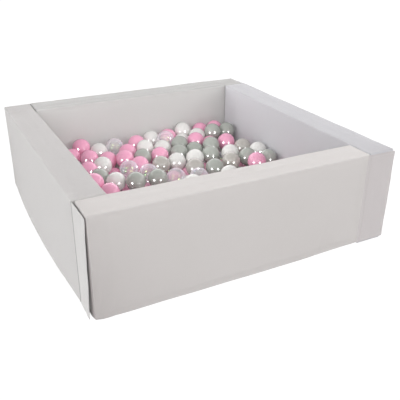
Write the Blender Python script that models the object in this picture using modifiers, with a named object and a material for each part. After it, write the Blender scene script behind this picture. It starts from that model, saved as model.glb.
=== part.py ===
"""Soft square ball pit: four foam walls in fabric covers that fold at the corners, a mat and two ball layers.

Metres, +Z up. The origin is the middle of the footprint on the floor, +X is right and -Y is the front.
"""

import math

import bmesh
import bpy
import numpy as np
from mathutils import Matrix

# Outer sizes
outer_side = 1.02
wall_height = 0.325
wall_thickness = 0.10
edge_radius = 0.012

# Fabric covers and foam cores
cover_thickness = 0.002
fit_gap = 0.0003
corner_gap = 0.0005
cover_overrun = 0.01

# Corner flaps with hook and loop strips
flap_thickness = 0.002
flap_edge_radius = 0.0004
flap_bottom = 0.003
flap_top_drop = 0.004
flap_end_drop = 0.003
strip_thickness = 0.0015
strip_width = 0.05
strip_end_drop = 0.03
corner_axis_out = 0.001

# Zips under the walls and under the mat
zip_end_drop = 0.06
slot_width = 0.014
tape_width = 0.03
tape_thickness = 0.001
tape_overlap = 0.01
groove_side_gap = 0.002
groove_depth = 0.003
chain_width = 0.005
chain_drop = 0.0009
chain_end_gap = 0.005
slider_floor_gap = 0.0003
slider_width = 0.011
slider_length = 0.014
slider_wall = 0.0015
slider_plate = 0.0007
slider_top_gap = 0.0003
pull_length = 0.022
pull_width = 0.005

# Floor mat
mat_thickness = 0.05
mat_gap = 0.0005
mat_edge_radius = 0.008

# Balls
ball_diameter = 0.07
lower_gap = 0.007
upper_gap = 0.013
start_jitter = 0.008
heap_rise = 0.0035
fall_step = 0.0005
place_step = 0.00001
ball_slack = 0.0002
loose_clearance = 0.001
lift_height = 0.3
slab_rise = 0.022
foot_rise = 0.015

# Counts and shares
bevel_steps = 3
ball_seed = 3
settle_sweeps = 560
ease_sweeps = 140
loose_ball_count = 19
push_share = 0.35
hold_share = 0.08
keep_apart_share = 0.95
start_drop_share = 0.2
seen_room_share = 0.43
shown_share = 0.6
faceted_ball_share = 1.046
right_angle = math.pi / 2

# Balls that are seen from the front left: across and along the inner square, and the finish
seen_ball_shares = [
    (0.195, 0.940, "pink"),
    (0.255, 0.930, "white"),
    (0.330, 0.925, "clear"),
    (0.195, 0.845, "pink"),
    (0.265, 0.810, "pink"),
    (0.145, 0.910, "pink"),
    (0.210, 0.745, "white"),
    (0.150, 0.720, "pink"),
    (0.380, 0.850, "pink"),
    (0.335, 0.765, "pink"),
    (0.460, 0.935, "pink"),
    (0.555, 0.960, "white"),
    (0.475, 0.845, "white"),
    (0.420, 0.760, "grey"),
    (0.335, 0.820, "grey"),
    (0.375, 0.685, "pink"),
    (0.160, 0.630, "grey"),
    (0.220, 0.555, "white"),
    (0.150, 0.445, "pink"),
    (0.285, 0.500, "grey"),
    (0.310, 0.630, "clear"),
    (0.370, 0.560, "clear"),
    (0.380, 0.495, "grey"),
    (0.460, 0.640, "pearl"),
    (0.510, 0.760, "pink"),
    (0.560, 0.830, "white"),
    (0.665, 0.960, "pink"),
    (0.610, 0.900, "clear"),
    (0.730, 0.960, "white"),
    (0.690, 0.920, "white"),
    (0.645, 0.820, "grey"),
    (0.605, 0.740, "grey"),
    (0.555, 0.645, "white"),
    (0.480, 0.500, "clear"),
    (0.830, 0.960, "pink"),
    (0.785, 0.905, "white"),
    (0.740, 0.820, "pink"),
    (0.695, 0.740, "grey"),
    (0.640, 0.625, "white"),
    (0.580, 0.525, "pearl"),
    (0.570, 0.455, "clear"),
    (0.920, 0.960, "pink"),
    (0.825, 0.890, "grey"),
    (0.820, 0.820, "pink"),
    (0.770, 0.730, "grey"),
    (0.725, 0.635, "grey"),
    (0.665, 0.495, "grey"),
    (0.940, 0.890, "grey"),
    (0.955, 0.860, "grey"),
    (0.865, 0.730, "pink"),
    (0.820, 0.705, "clear"),
    (0.815, 0.600, "white"),
    (0.770, 0.520, "pearl"),
    (0.815, 0.495, "grey"),
    (0.915, 0.650, "pearl"),
    (0.865, 0.535, "grey"),
    (0.960, 0.580, "white"),
    (0.940, 0.485, "grey"),
    (0.875, 0.465, "pink"),
]

other_finishes = ("pink", "white", "grey", "pearl", "clear")

# Worked out from the sizes above
inner_side = outer_side - 2 * wall_thickness
wall_end = outer_side / 2 - wall_thickness - corner_gap
flap_seat = math.sqrt((edge_radius + fit_gap) ** 2 - (edge_radius - flap_thickness) ** 2)
flap_start = wall_end - edge_radius + flap_seat
corner_axis_along = flap_start - fit_gap
corner_axis_across = outer_side / 2 + corner_axis_out
hinge_recess = flap_thickness + 2 * strip_thickness + 3 * fit_gap
swing_sweep = math.hypot(inner_side, wall_thickness + corner_axis_out) - inner_side
closing_recess = flap_thickness + strip_thickness + 2 * fit_gap + swing_sweep
ball_radius = ball_diameter / 2
faceted_radius = ball_radius * faceted_ball_share
ball_reach = inner_side / 2 - faceted_radius - fit_gap
fill_bottom = mat_thickness + fit_gap
lowest_ball = fill_bottom + ball_radius
lower_pitch = ball_diameter + lower_gap
upper_pitch = ball_diameter + upper_gap
heap_limit = ball_diameter + heap_rise
start_drop = ball_diameter * start_drop_share
seen_room = int(seen_room_share * (inner_side / ball_diameter) ** 2)

finishes = {
    "fabric": ((0.62, 0.60, 0.59), 0.75, 0.0),
    "foam": ((0.80, 0.78, 0.66), 0.95, 0.0),
    "tape": ((0.45, 0.44, 0.43), 0.85, 0.0),
    "strip": ((0.40, 0.39, 0.39), 0.95, 0.0),
    "slider": ((0.60, 0.60, 0.62), 0.35, 1.0),
    "fill": ((0.70, 0.68, 0.68), 0.30, 0.0),
    "pink": ((0.90, 0.42, 0.58), 0.25, 0.0),
    "white": ((0.88, 0.87, 0.85), 0.25, 0.0),
    "grey": ((0.36, 0.39, 0.36), 0.25, 0.0),
    "pearl": ((0.48, 0.46, 0.43), 0.25, 0.0),
    "clear": ((0.80, 0.78, 0.82), 0.10, 0.0),
}


def clear_scene():
    for obj in list(bpy.data.objects):
        bpy.data.objects.remove(obj, do_unlink=True)


def new_collection(name):
    collection = bpy.data.collections.new(name)
    bpy.context.scene.collection.children.link(collection)
    return collection


def finish_material(name, finish):
    color, roughness, metallic = finishes[finish]
    material = bpy.data.materials.new(name)
    material.use_nodes = True
    shader = material.node_tree.nodes["Principled BSDF"]
    shader.inputs["Base Color"].default_value = (*color, 1)
    shader.inputs["Roughness"].default_value = roughness
    shader.inputs["Metallic"].default_value = metallic
    material.diffuse_color = (*color, 1)
    return material


def box_mesh(name, low, high):
    """A box between two corners, with its origin left at the frame's own."""
    sides = [b - a for a, b in zip(low, high)]
    middle = [(a + b) / 2 for a, b in zip(low, high)]
    bm = bmesh.new()
    place = Matrix.Translation(middle) @ Matrix.Diagonal((*sides, 1))
    bmesh.ops.create_cube(bm, size=1, matrix=place)
    mesh = bpy.data.meshes.new(name)
    bm.to_mesh(mesh)
    bm.free()
    return mesh


def add_object(name, mesh, collection, parent, turn, finish=None):
    """Places a mesh that is drawn in a wall's own frame: turned about the middle, then held by its pivot."""
    mesh.transform(Matrix.Rotation(turn, 4, "Z"))
    if parent is not None:
        mesh.transform(Matrix.Translation(-parent.location))
    obj = bpy.data.objects.new(name, mesh)
    collection.objects.link(obj)
    obj.parent = parent
    if finish is not None:
        mesh.materials.append(finish_material(name, finish))
    return obj


def add_cutter(name, mesh, parent, turn):
    cutter = add_object(name, mesh, cutters, parent, turn)
    cutter.hide_render = True
    cutter.display_type = "WIRE"
    return cutter


def round_edges(obj, radius, steps):
    bevel = obj.modifiers.new("rounded edges", "BEVEL")
    bevel.width = radius
    bevel.segments = steps
    bevel.limit_method = "NONE"


def combine(obj, other, operation):
    boolean = obj.modifiers.new(other.name, "BOOLEAN")
    boolean.operation = operation
    boolean.solver = "EXACT"
    boolean.object = other


def add_pivot(name, place):
    pivot = bpy.data.objects.new(name, None)
    pivot.location = place
    pivot.empty_display_size = wall_thickness / 2
    parts.objects.link(pivot)
    return pivot


def padded_block(name, low, high, radius, pivot, turn):
    """A foam core in a fabric cover, with a zip in a slot along the middle of its underside."""
    inset = cover_thickness
    core = cover_thickness + fit_gap
    middle = (low[1] + high[1]) / 2
    slot_start = low[0] + zip_end_drop
    slot_end = high[0] - zip_end_drop

    cover = add_object(name + "_cover", box_mesh(name, low, high), parts, pivot, turn, "fabric")
    round_edges(cover, radius, bevel_steps)
    hollow = add_cutter(
        name + "_hollow",
        box_mesh(name, [a + inset for a in low], [b - inset for b in high]),
        pivot,
        turn,
    )
    round_edges(hollow, radius - inset, bevel_steps - 1)
    combine(cover, hollow, "DIFFERENCE")
    slot = add_cutter(
        name + "_slot",
        box_mesh(
            name,
            (slot_start, middle - slot_width / 2, low[2] - cover_overrun),
            (slot_end, middle + slot_width / 2, low[2] + core),
        ),
        pivot,
        turn,
    )
    combine(cover, slot, "DIFFERENCE")

    foam = add_object(
        name + "_foam",
        box_mesh(name, [a + core for a in low], [b - core for b in high]),
        parts,
        pivot,
        turn,
        "foam",
    )
    round_edges(foam, radius - inset, bevel_steps - 1)
    groove_side = tape_width / 2 + groove_side_gap
    groove_end = tape_overlap + groove_side_gap
    groove = add_cutter(
        name + "_groove",
        box_mesh(
            name,
            (slot_start - groove_end, middle - groove_side, low[2] - cover_overrun),
            (slot_end + groove_end, middle + groove_side, low[2] + core + groove_depth),
        ),
        pivot,
        turn,
    )
    combine(foam, groove, "DIFFERENCE")
    add_zip(name, slot_start, slot_end, middle, low[2], pivot, turn)


def add_zip(name, slot_start, slot_end, middle, bottom, pivot, turn):
    """The tape lies inside the cover, its chain stands down into the slot, and the slider wraps the chain."""
    tape_bottom = bottom + cover_thickness + fit_gap
    tape = add_object(
        name + "_zip",
        box_mesh(
            name,
            (slot_start - tape_overlap, middle - tape_width / 2, tape_bottom),
            (slot_end + tape_overlap, middle + tape_width / 2, tape_bottom + tape_thickness),
        ),
        parts,
        pivot,
        turn,
        "tape",
    )
    chain = add_cutter(
        name + "_chain",
        box_mesh(
            name,
            (slot_start + chain_end_gap, middle - chain_width / 2, tape_bottom - chain_drop),
            (slot_end - chain_end_gap, middle + chain_width / 2, tape_bottom + tape_thickness / 2),
        ),
        pivot,
        turn,
    )
    combine(tape, chain, "UNION")

    plate_bottom = bottom + slider_floor_gap
    slider_start = slot_start + chain_end_gap
    slider = add_object(
        name + "_zip_slider",
        box_mesh(
            name,
            (slider_start, middle - slider_width / 2, plate_bottom),
            (slider_start + slider_length, middle + slider_width / 2, tape_bottom - slider_top_gap),
        ),
        parts,
        pivot,
        turn,
        "slider",
    )
    channel_side = slider_width / 2 - slider_wall
    channel = add_cutter(
        name + "_slider_channel",
        box_mesh(
            name,
            (slider_start - cover_overrun, middle - channel_side, plate_bottom + slider_plate),
            (slider_start + slider_length + cover_overrun, middle + channel_side, tape_bottom),
        ),
        pivot,
        turn,
    )
    combine(slider, channel, "DIFFERENCE")
    pull_side = pull_width / 2
    pull = add_cutter(
        name + "_pull",
        box_mesh(
            name,
            (slider_start + slider_length / 2, middle - pull_side, plate_bottom),
            (slider_start + slider_length + pull_length, middle + pull_side, plate_bottom + slider_plate),
        ),
        pivot,
        turn,
    )
    combine(slider, pull, "UNION")


def add_flap(name, turn, end_recess, flap_pivot, end_pivot):
    """A wall's cover runs on over its rounded end as a flap on the next wall's end, where hook meets loop."""
    face = -outer_side / 2
    flap = add_object(
        name,
        box_mesh(
            name,
            (flap_start, face, flap_bottom),
            (outer_side / 2 - flap_end_drop, face + flap_thickness, wall_height - flap_top_drop),
        ),
        parts,
        flap_pivot,
        turn,
        "fabric",
    )
    round_edges(flap, flap_edge_radius, 1)
    middle = outer_side / 2 - wall_thickness / 2
    hook_face = face + flap_thickness + fit_gap
    loop_face = face + end_recess - fit_gap - strip_thickness
    strips = (("hook", hook_face, flap_pivot), ("loop", loop_face, end_pivot))
    for kind, start, pivot in strips:
        add_object(
            f"{name}_{kind}_strip",
            box_mesh(
                name,
                (middle - strip_width / 2, start, strip_end_drop),
                (middle + strip_width / 2, start + strip_thickness, wall_height - strip_end_drop),
            ),
            parts,
            pivot,
            turn,
            "strip",
        )


def grid_places(pitch):
    """Staggered rows that fill the floor between the walls."""
    columns = int(2 * ball_reach / pitch) + 1
    rows = int(2 * ball_reach / (pitch * math.sqrt(3) / 2)) + 1
    places = []
    for row, along in enumerate(np.linspace(-ball_reach, ball_reach, rows)):
        across = np.linspace(-ball_reach, ball_reach, columns)
        if row % 2:
            across = (across[1:] + across[:-1]) / 2
        places += [(x, along) for x in across]
    return np.array(places)


def seen_rows():
    """The table's rows, thinned out evenly in a pit that has too little room for all of them."""
    count = min(seen_room, len(seen_ball_shares))
    kept = np.linspace(0, len(seen_ball_shares) - 1, count).astype(int)
    return [seen_ball_shares[row] for row in kept]


def start_places():
    """A lower layer on the mat, then the seen balls over it, then more where these leave room."""
    generator = np.random.default_rng(ball_seed)
    lower = grid_places(lower_pitch)
    lower = lower + generator.uniform(-start_jitter, start_jitter, lower.shape)
    seen = np.array([row[:2] for row in seen_rows()]) * inner_side - inner_side / 2
    upper = [tuple(place) for place in seen]
    hidden = grid_places(upper_pitch)
    for place in hidden + generator.uniform(-start_jitter, start_jitter, hidden.shape):
        if np.hypot(*(np.array(upper) - place).T).min() > keep_apart_share * ball_diameter:
            upper.append(tuple(place))
    flat = np.vstack([lower, upper])
    height = np.full(len(flat), lowest_ball)
    height[len(lower):] += ball_diameter - start_drop
    return np.column_stack([flat, height]), len(lower)


def settled_places():
    """Lets the balls sink and push one another apart, then seats each one on those under it."""
    places, lower_count = start_places()
    seen = slice(lower_count, lower_count + len(seen_rows()))
    wanted = places[seen, :2].copy()
    spacing = ball_diameter + ball_slack
    same = np.eye(len(places)) * spacing
    for sweep in range(settle_sweeps + ease_sweeps):
        if sweep < settle_sweeps:
            places[:, 2] -= fall_step
            places[seen, :2] += (wanted - places[seen, :2]) * hold_share
        offsets = places[:, None] - places[None]
        distances = np.sqrt((offsets**2).sum(axis=2)) + same
        pushes = np.clip(spacing / distances - 1, 0, None) * push_share
        places += (offsets * pushes[:, :, None]).sum(axis=1)
        places[:, :2] = np.clip(places[:, :2], -ball_reach, ball_reach)
        places[:, 2] = np.clip(places[:, 2], lowest_ball, lowest_ball + heap_limit)
        places = np.round(places / place_step) * place_step
    order = np.argsort(places[:, 2], kind="stable")
    for count, ball in enumerate(order):
        under = places[order[:count]]
        apart = ((under[:, :2] - places[ball, :2]) ** 2).sum(axis=1)
        near = apart < ball_diameter**2
        seats = under[near, 2] + np.sqrt(ball_diameter**2 - apart[near])
        places[ball, 2] = max(seats, default=lowest_ball)
    return places, lower_count


def loose_balls(places, lower_count):
    """The upper balls that nothing lies over and that no other loose ball touches, the seen ones first."""
    found = []
    for ball in range(lower_count, len(places)):
        apart = np.sqrt(((places[:, :2] - places[ball, :2]) ** 2).sum(axis=1))
        over = (places[:, 2] > places[ball, 2]) & (apart < ball_diameter + loose_clearance)
        nearest = min((np.linalg.norm(places[ball] - places[other]) for other in found), default=outer_side)
        if not over.any() and nearest > 2 * faceted_radius + loose_clearance:
            found.append(ball)
    return found[:loose_ball_count]


def joined_balls(places, lower_count, loose):
    """The upper balls that aren't loose, and the lower ones that carry a loose one or show between them."""
    offsets = places[:, None, :2] - places[None, lower_count:, :2]
    nearest_upper = np.sqrt((offsets**2).sum(axis=2)).min(axis=1)
    to_loose = np.linalg.norm(places[:, None] - places[None, loose], axis=2).min(axis=1)
    joined = (nearest_upper > shown_share * ball_diameter) | (to_loose < ball_diameter + place_step)
    joined[lower_count:] = True
    joined[loose] = False
    return places[joined]


def ball_finish(upper_number):
    """The table's finish for a seen ball. Those past the table take the finishes in turn."""
    rows = seen_rows()
    if upper_number < len(rows):
        return rows[upper_number][2]
    return other_finishes[upper_number % len(other_finishes)]


def ball_mesh(name, places, radius, lift=0, foot=None):
    """Faceted balls in one mesh, each of a true ball's volume.

    A lift draws the upper halves out upwards. A foot is the height that the lower halves are brought to.
    """
    bm = bmesh.new()
    for place in places:
        made = bmesh.ops.create_icosphere(bm, subdivisions=2, radius=radius)["verts"]
        for vert in made:
            if vert.co.z > place_step:
                vert.co.z += lift
            elif foot is not None and vert.co.z < -place_step:
                vert.co.z = foot - place[2]
        bmesh.ops.translate(bm, verts=made, vec=place)
    mesh = bpy.data.meshes.new(name)
    bm.to_mesh(mesh)
    bm.free()
    return mesh


def add_balls():
    """The balls that stay stand up from one slab, each on its own foot, and the loose ones sit in seats."""
    places, lower_count = settled_places()
    loose = loose_balls(places, lower_count)
    side = inner_side / 2 - mat_gap
    slab_top = lowest_ball + slab_rise
    slab = box_mesh("ball_fill", (-side, -side, fill_bottom), (side, side, slab_top))
    fill = add_object("ball_fill", slab, parts, None, 0, "fill")
    joined = joined_balls(places, lower_count, loose)
    heap = ball_mesh("ball_fill_balls", joined, faceted_radius, foot=fill_bottom + foot_rise)
    combine(fill, add_cutter("ball_fill_balls", heap, None, 0), "UNION")
    fill.modifiers[-1].use_self = True
    seats = ball_mesh("ball_seats", places[loose], faceted_radius + fit_gap, lift_height)
    combine(fill, add_cutter("ball_seats", seats, None, 0), "DIFFERENCE")
    for number, ball in enumerate(loose, start=1):
        finish = ball_finish(ball - lower_count)
        pivot = add_pivot(f"lift_ball_{number:02d}", places[ball])
        mesh = ball_mesh("ball", [places[ball]], faceted_radius)
        add_object(f"ball_{number:02d}", mesh, parts, pivot, 0, finish)
    print(len(places), "balls,", lower_count, "of them below,", len(loose), "loose")
    print("loose finishes:", ", ".join(ball_finish(ball - lower_count) for ball in loose))
    print("highest ball top", round(float(places[:, 2].max() + faceted_radius), 4))


def add_walls():
    """Each wall ends flush with the one before it and butts against the inner face of the one after it."""
    half = outer_side / 2
    along = corner_axis_along
    across = corner_axis_across
    back_left = add_pivot("back_left_corner", (-along, across, 0))
    back_right = add_pivot("back_right_corner", (across, along, 0))
    front_right = add_pivot("front_right_corner", (along, -across, 0))
    closing = add_pivot("closing_flap_fold", (-across, -along, 0))
    walls = (
        ("front_wall", 0, closing_recess, front_right),
        ("right_wall", right_angle, hinge_recess, back_right),
        ("back_wall", 2 * right_angle, hinge_recess, None),
        ("left_wall", 3 * right_angle, hinge_recess, back_left),
    )
    for name, turn, recess, pivot in walls:
        low = (-half + recess, -half, 0)
        high = (wall_end, wall_thickness - half, wall_height)
        padded_block(name, low, high, edge_radius, pivot, turn)
    add_flap("front_right_flap", 0, hinge_recess, back_right, back_right)
    add_flap("back_right_flap", right_angle, hinge_recess, None, None)
    add_flap("back_left_flap", 2 * right_angle, hinge_recess, back_left, back_left)
    add_flap("closing_flap", 3 * right_angle, closing_recess, closing, front_right)
    for pivot in (back_left, back_right, front_right, closing):
        print(pivot.name, [round(value, 6) for value in pivot.location])


def add_mat():
    side = inner_side / 2 - mat_gap
    padded_block("mat", (-side, -side, 0), (side, side, mat_thickness), mat_edge_radius, None, 0)


clear_scene()
parts = new_collection("ball_pit")
cutters = new_collection("ball_pit_cutters")
add_walls()
add_mat()
add_balls()
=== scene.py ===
import math
import bpy
import numpy as np
from mathutils import Matrix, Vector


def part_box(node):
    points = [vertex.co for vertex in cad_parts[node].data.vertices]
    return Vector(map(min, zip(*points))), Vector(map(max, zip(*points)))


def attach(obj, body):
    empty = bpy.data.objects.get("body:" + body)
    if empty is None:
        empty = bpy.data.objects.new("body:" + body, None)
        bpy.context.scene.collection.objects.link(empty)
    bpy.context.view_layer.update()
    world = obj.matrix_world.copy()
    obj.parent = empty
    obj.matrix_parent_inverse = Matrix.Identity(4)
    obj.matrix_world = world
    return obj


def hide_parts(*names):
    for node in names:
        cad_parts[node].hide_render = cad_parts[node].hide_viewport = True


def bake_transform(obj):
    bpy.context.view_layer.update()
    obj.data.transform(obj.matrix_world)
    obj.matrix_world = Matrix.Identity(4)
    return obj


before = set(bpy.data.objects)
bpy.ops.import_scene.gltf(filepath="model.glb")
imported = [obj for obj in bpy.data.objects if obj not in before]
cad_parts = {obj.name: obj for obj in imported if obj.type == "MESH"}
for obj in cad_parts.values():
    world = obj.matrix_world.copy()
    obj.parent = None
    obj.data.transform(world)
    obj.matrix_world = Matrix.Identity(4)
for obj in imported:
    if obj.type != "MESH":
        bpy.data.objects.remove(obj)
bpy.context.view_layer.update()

scene = bpy.context.scene
tiny = 1e-9  # Keeps a division by a length from being one by nought
print("frame loaded")

# Camera at the photograph's angle

cameraSettings = {
    "place": (-0.82013, -1.71430, 0.96673),
    "azimuth": -27.672,
    "elevation": 26.141,
    "roll": 0.4235,
    "lens": 51.124,
    "sensor": 36.0,
    "clipEnd": 60,
}


def makeCamera(settings):
    # Columns of the turn are the picture's right, its up, and the way back from the object.
    az, el, roll = (math.radians(settings[key]) for key in ("azimuth", "elevation", "roll"))
    back = np.array([math.sin(az) * math.cos(el), -math.cos(az) * math.cos(el), math.sin(el)])
    right = np.array([math.cos(az), math.sin(az), 0.0])
    up = np.cross(back, right)
    turnedRight = math.cos(roll) * right + math.sin(roll) * up
    turnedUp = np.cross(back, turnedRight)
    data = bpy.data.cameras.new("photoCamera")
    data.lens = settings["lens"]
    data.sensor_width = settings["sensor"]
    data.clip_end = settings["clipEnd"]
    camera = bpy.data.objects.new("photoCamera", data)
    turn = Matrix(np.column_stack([turnedRight, turnedUp, back]).tolist()).to_4x4()
    camera.matrix_world = Matrix.Translation(settings["place"]) @ turn
    scene.collection.objects.link(camera)
    scene.camera = camera


makeCamera(cameraSettings)

# Meshes from arrays


def meshFromArrays(name, points, *faceSets):
    # Points are rows of x, y, z. Each face set is an array of corner numbers, three or four to a row.
    points = np.asarray(points, np.float32).reshape(-1, 3)
    counts = np.concatenate([np.full(len(faces), faces.shape[1]) for faces in faceSets])
    corners = np.concatenate([faces.ravel() for faces in faceSets]).astype(np.int32)
    starts = np.concatenate([[0], np.cumsum(counts)[:-1]]).astype(np.int32)
    mesh = bpy.data.meshes.new(name)
    mesh.vertices.add(len(points))
    mesh.vertices.foreach_set("co", points.ravel())
    mesh.loops.add(len(corners))
    mesh.loops.foreach_set("vertex_index", corners)
    mesh.polygons.add(len(counts))
    mesh.polygons.foreach_set("loop_start", starts)
    mesh.update(calc_edges=True)
    mesh.validate()
    mesh.shade_smooth()
    return mesh


def newPiece(name, mesh, material=None):
    piece = bpy.data.objects.new(name, mesh)
    scene.collection.objects.link(piece)
    if material is not None:
        mesh.materials.clear()
        mesh.materials.append(material)
    return piece


def gridFaces(rows, columns, closeRows=False, closeColumns=False, start=0):
    # Quads between neighbouring lines of a grid whose point (i, j) is number i * columns + j.
    i = np.arange(rows if closeRows else rows - 1)[:, None]
    j = np.arange(columns if closeColumns else columns - 1)[None, :]
    iNext = (i + 1) % rows
    jNext = (j + 1) % columns
    corners = [i * columns + j, iNext * columns + j, iNext * columns + jNext, i * columns + jNext]
    return np.stack([np.broadcast_to(c, (i.size, j.size)).ravel() for c in corners], axis=1) + start


def capFans(rings, sides):
    # Triangles from two poles, the points after a grid of rings, to its first and its last ring.
    j = np.arange(sides)
    k = (j + 1) % sides
    top = rings * sides
    last = top - sides
    return np.vstack([np.stack([np.full(sides, top), j, k], axis=1),
                      np.stack([np.full(sides, top + 1), last + k, last + j], axis=1)])


def twoSided(front, rear):
    # The points and faces of a closed sheet: two grids of one size, joined all round by a rim.
    rows, columns = front.shape[:2]
    size = rows * columns
    ring = np.concatenate([np.arange(columns), np.arange(1, rows) * columns + columns - 1,
                           size - 2 - np.arange(columns - 1), np.arange(rows - 2, 0, -1) * columns])
    ringNext = np.roll(ring, -1)
    rim = np.stack([ring, ringNext, ringNext + size, ring + size], axis=1)
    sheets = [gridFaces(rows, columns), gridFaces(rows, columns, start=size)[:, ::-1]]
    points = np.concatenate([front.reshape(-1, 3), rear.reshape(-1, 3)])
    return points, np.concatenate([*sheets, rim[:, ::-1]])


def copiesMesh(name, placed, *faceSets):
    # Placed has a row of points for each copy of a shape, and the face sets are those of a single copy.
    shift = (np.arange(len(placed)) * placed.shape[1])[:, None, None]
    return meshFromArrays(name, placed, *[(faces + shift).reshape(-1, faces.shape[1]) for faces in faceSets])


def setValues(mesh, name, values):
    # A number for each point, for a material to read.
    mesh.attributes.new(name, "FLOAT", "POINT").data.foreach_set("value", values.astype(np.float32))


def pointsOf(mesh):
    points = np.empty(len(mesh.vertices) * 3, np.float32)
    mesh.vertices.foreach_get("co", points)
    return points.reshape(-1, 3).astype(float)


def normalsOf(mesh):
    normals = np.empty(len(mesh.vertices) * 3, np.float32)
    mesh.vertex_normals.foreach_get("vector", normals)
    return normals.reshape(-1, 3).astype(float)


def setPoints(mesh, points):
    mesh.vertices.foreach_set("co", points.astype(np.float32).ravel())
    mesh.update()


def evaluatedMesh(piece):
    graph = bpy.context.evaluated_depsgraph_get()
    return bpy.data.meshes.new_from_object(piece.evaluated_get(graph))


def mergeClosePoints(piece, distance):
    weld = piece.modifiers.new("merge", "WELD")
    weld.merge_threshold = distance
    mesh = evaluatedMesh(piece)
    piece.modifiers.remove(weld)
    piece.data = mesh
    return mesh


def smoothStep(values, low, high):
    share = np.clip((values - low) / (high - low), 0, 1)
    return share * share * (3 - 2 * share)


def quarterTurn(points, quarters):
    # Turns points about the upright axis by right angles, so that one wall's shape serves all four sides.
    turned = np.array(points, float)
    for _ in range(quarters):
        turned[..., 0], turned[..., 1] = -turned[..., 1].copy(), turned[..., 0].copy()
    return turned


def limitsOf(node, quarters):
    # The node's box, turned back by right angles to where its side of the object is the front.
    corners = quarterTurn(np.array(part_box(node)), (4 - quarters) % 4)
    return corners.min(axis=0), corners.max(axis=0)


# Materials


def fillSocket(socket, value):
    # A socket takes another one's output, a colour or a number.
    if isinstance(value, bpy.types.NodeSocket):
        socket.id_data.links.new(value, socket)
    elif isinstance(value, tuple):
        socket.default_value = (*value, 1)
    else:
        socket.default_value = value


def fillInputs(node, **values):
    for key, value in values.items():
        fillSocket(node.inputs[key.replace("_", " ")], value)
    return node


def newMaterial(name):
    # A material with its node tree, its shader, and the place in the object that its patterns follow.
    material = bpy.data.materials.new(name)
    material.use_nodes = True
    tree = material.node_tree
    place = addNode(tree, "ShaderNodeTexCoord").outputs["Object"]
    return material, tree, tree.nodes["Principled BSDF"], place


def addNode(tree, kind, **values):
    return fillInputs(tree.nodes.new(kind), **values)


def mathNode(tree, operation, first, second):
    node = tree.nodes.new("ShaderNodeMath")
    node.operation = operation
    fillSocket(node.inputs[0], first)
    fillSocket(node.inputs[1], second)
    return node.outputs[0]


def scaledSum(tree, value, factor, rest):
    # The value times the factor, plus the rest.
    return mathNode(tree, "ADD", mathNode(tree, "MULTIPLY", value, factor), rest)


def noise(tree, place, scale, detail, **more):
    node = addNode(tree, "ShaderNodeTexNoise", Vector=place, Scale=scale, Detail=detail, **more)
    return node.outputs["Fac"]


def attributeValue(tree, name):
    node = tree.nodes.new("ShaderNodeAttribute")
    node.attribute_name = name
    return node.outputs["Fac"]


def addBump(tree, shader, height, strength, distance):
    bump = addNode(tree, "ShaderNodeBump", Strength=strength, Distance=distance, Height=height)
    fillInputs(shader, Normal=bump.outputs[0])


def colorMix(tree, factor, first, second):
    node = tree.nodes.new("ShaderNodeMix")
    node.data_type = "RGBA"
    for number, value in ((0, factor), (6, first), (7, second)):
        fillSocket(node.inputs[number], value)
    return node.outputs[2]


fabricLook = {
    "color": (0.575, 0.550, 0.538),
    "shade": (0.542, 0.515, 0.503),
    # The colour of the painted shade that a cover mixes in
    "paintedShadeColor": (0.290, 0.260, 0.258),
    "roughness": 0.66,
    "roughSpread": 0.12,
    "specular": 0.2,
    "sheen": 0.15,
    "sheenRoughness": 0.5,
    "threadPitch": 0.0011,
    "threadBump": 0.00012,
    "bumpStrength": 0.6,
    "fibreSize": 0.0006,
    "fibreShare": 1.5,
    "patchScale": 5.0,
    "patchShare": 0.7,
    "slubScale": 120.0,
    "slubShare": 0.3,
}
threadLook = dict(fabricLook, color=(0.68, 0.67, 0.66), shade=(0.61, 0.60, 0.59), threadPitch=0.0004,
                  sheen=0.4)


def fabricMaterial(name, look):
    # Plain weave: the sum of three waves, one along each axis, so that every face shows two crossing sets of
    # threads. Fibres roughen it, and patches and slubs vary its tone.
    material, tree, shader, place = newMaterial(name)
    angles = [mathNode(tree, "MULTIPLY", part, 2 * math.pi / look["threadPitch"])
              for part in addNode(tree, "ShaderNodeSeparateXYZ", Vector=place).outputs]
    waves = [mathNode(tree, "SINE", angle, 0.0) for angle in angles]
    weave = mathNode(tree, "ADD", mathNode(tree, "ADD", waves[0], waves[1]), waves[2])
    fibres = noise(tree, place, 1 / look["fibreSize"], 2.0)
    patches = noise(tree, place, look["patchScale"], 3.0)
    slubs = mathNode(tree, "MULTIPLY", noise(tree, place, look["slubScale"], 2.0), look["slubShare"])
    tone = scaledSum(tree, patches, look["patchShare"], slubs)
    clean = colorMix(tree, tone, look["color"], look["shade"])
    # A number on each point mixes the painted shade colour into the cloth's own colour, for painted shade
    fillInputs(shader, Base_Color=colorMix(tree, attributeValue(tree, "paintedShade"), clean, look["paintedShadeColor"]),
               Roughness=scaledSum(tree, fibres, look["roughSpread"], look["roughness"]),
               Specular_IOR_Level=look["specular"], Sheen_Weight=look["sheen"],
               Sheen_Roughness=look["sheenRoughness"])
    height = scaledSum(tree, fibres, look["fibreShare"], weave)
    addBump(tree, shader, height, look["bumpStrength"], look["threadBump"])
    return material


ballLooks = {
    "pink": {"color": (0.830, 0.412, 0.560), "shade": (0.790, 0.335, 0.500), "roughness": 0.20},
    "white": {"color": (0.750, 0.743, 0.720), "shade": (0.695, 0.683, 0.667), "roughness": 0.21},
    "grey": {"color": (0.410, 0.430, 0.395), "shade": (0.350, 0.365, 0.335), "roughness": 0.19},
    "pearl": {"color": (0.470, 0.450, 0.415), "shade": (0.410, 0.385, 0.360), "roughness": 0.19},
    "clear": {"color": (0.940, 0.885, 0.905), "shade": (0.890, 0.870, 0.910), "roughness": 0.16},
}


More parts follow.
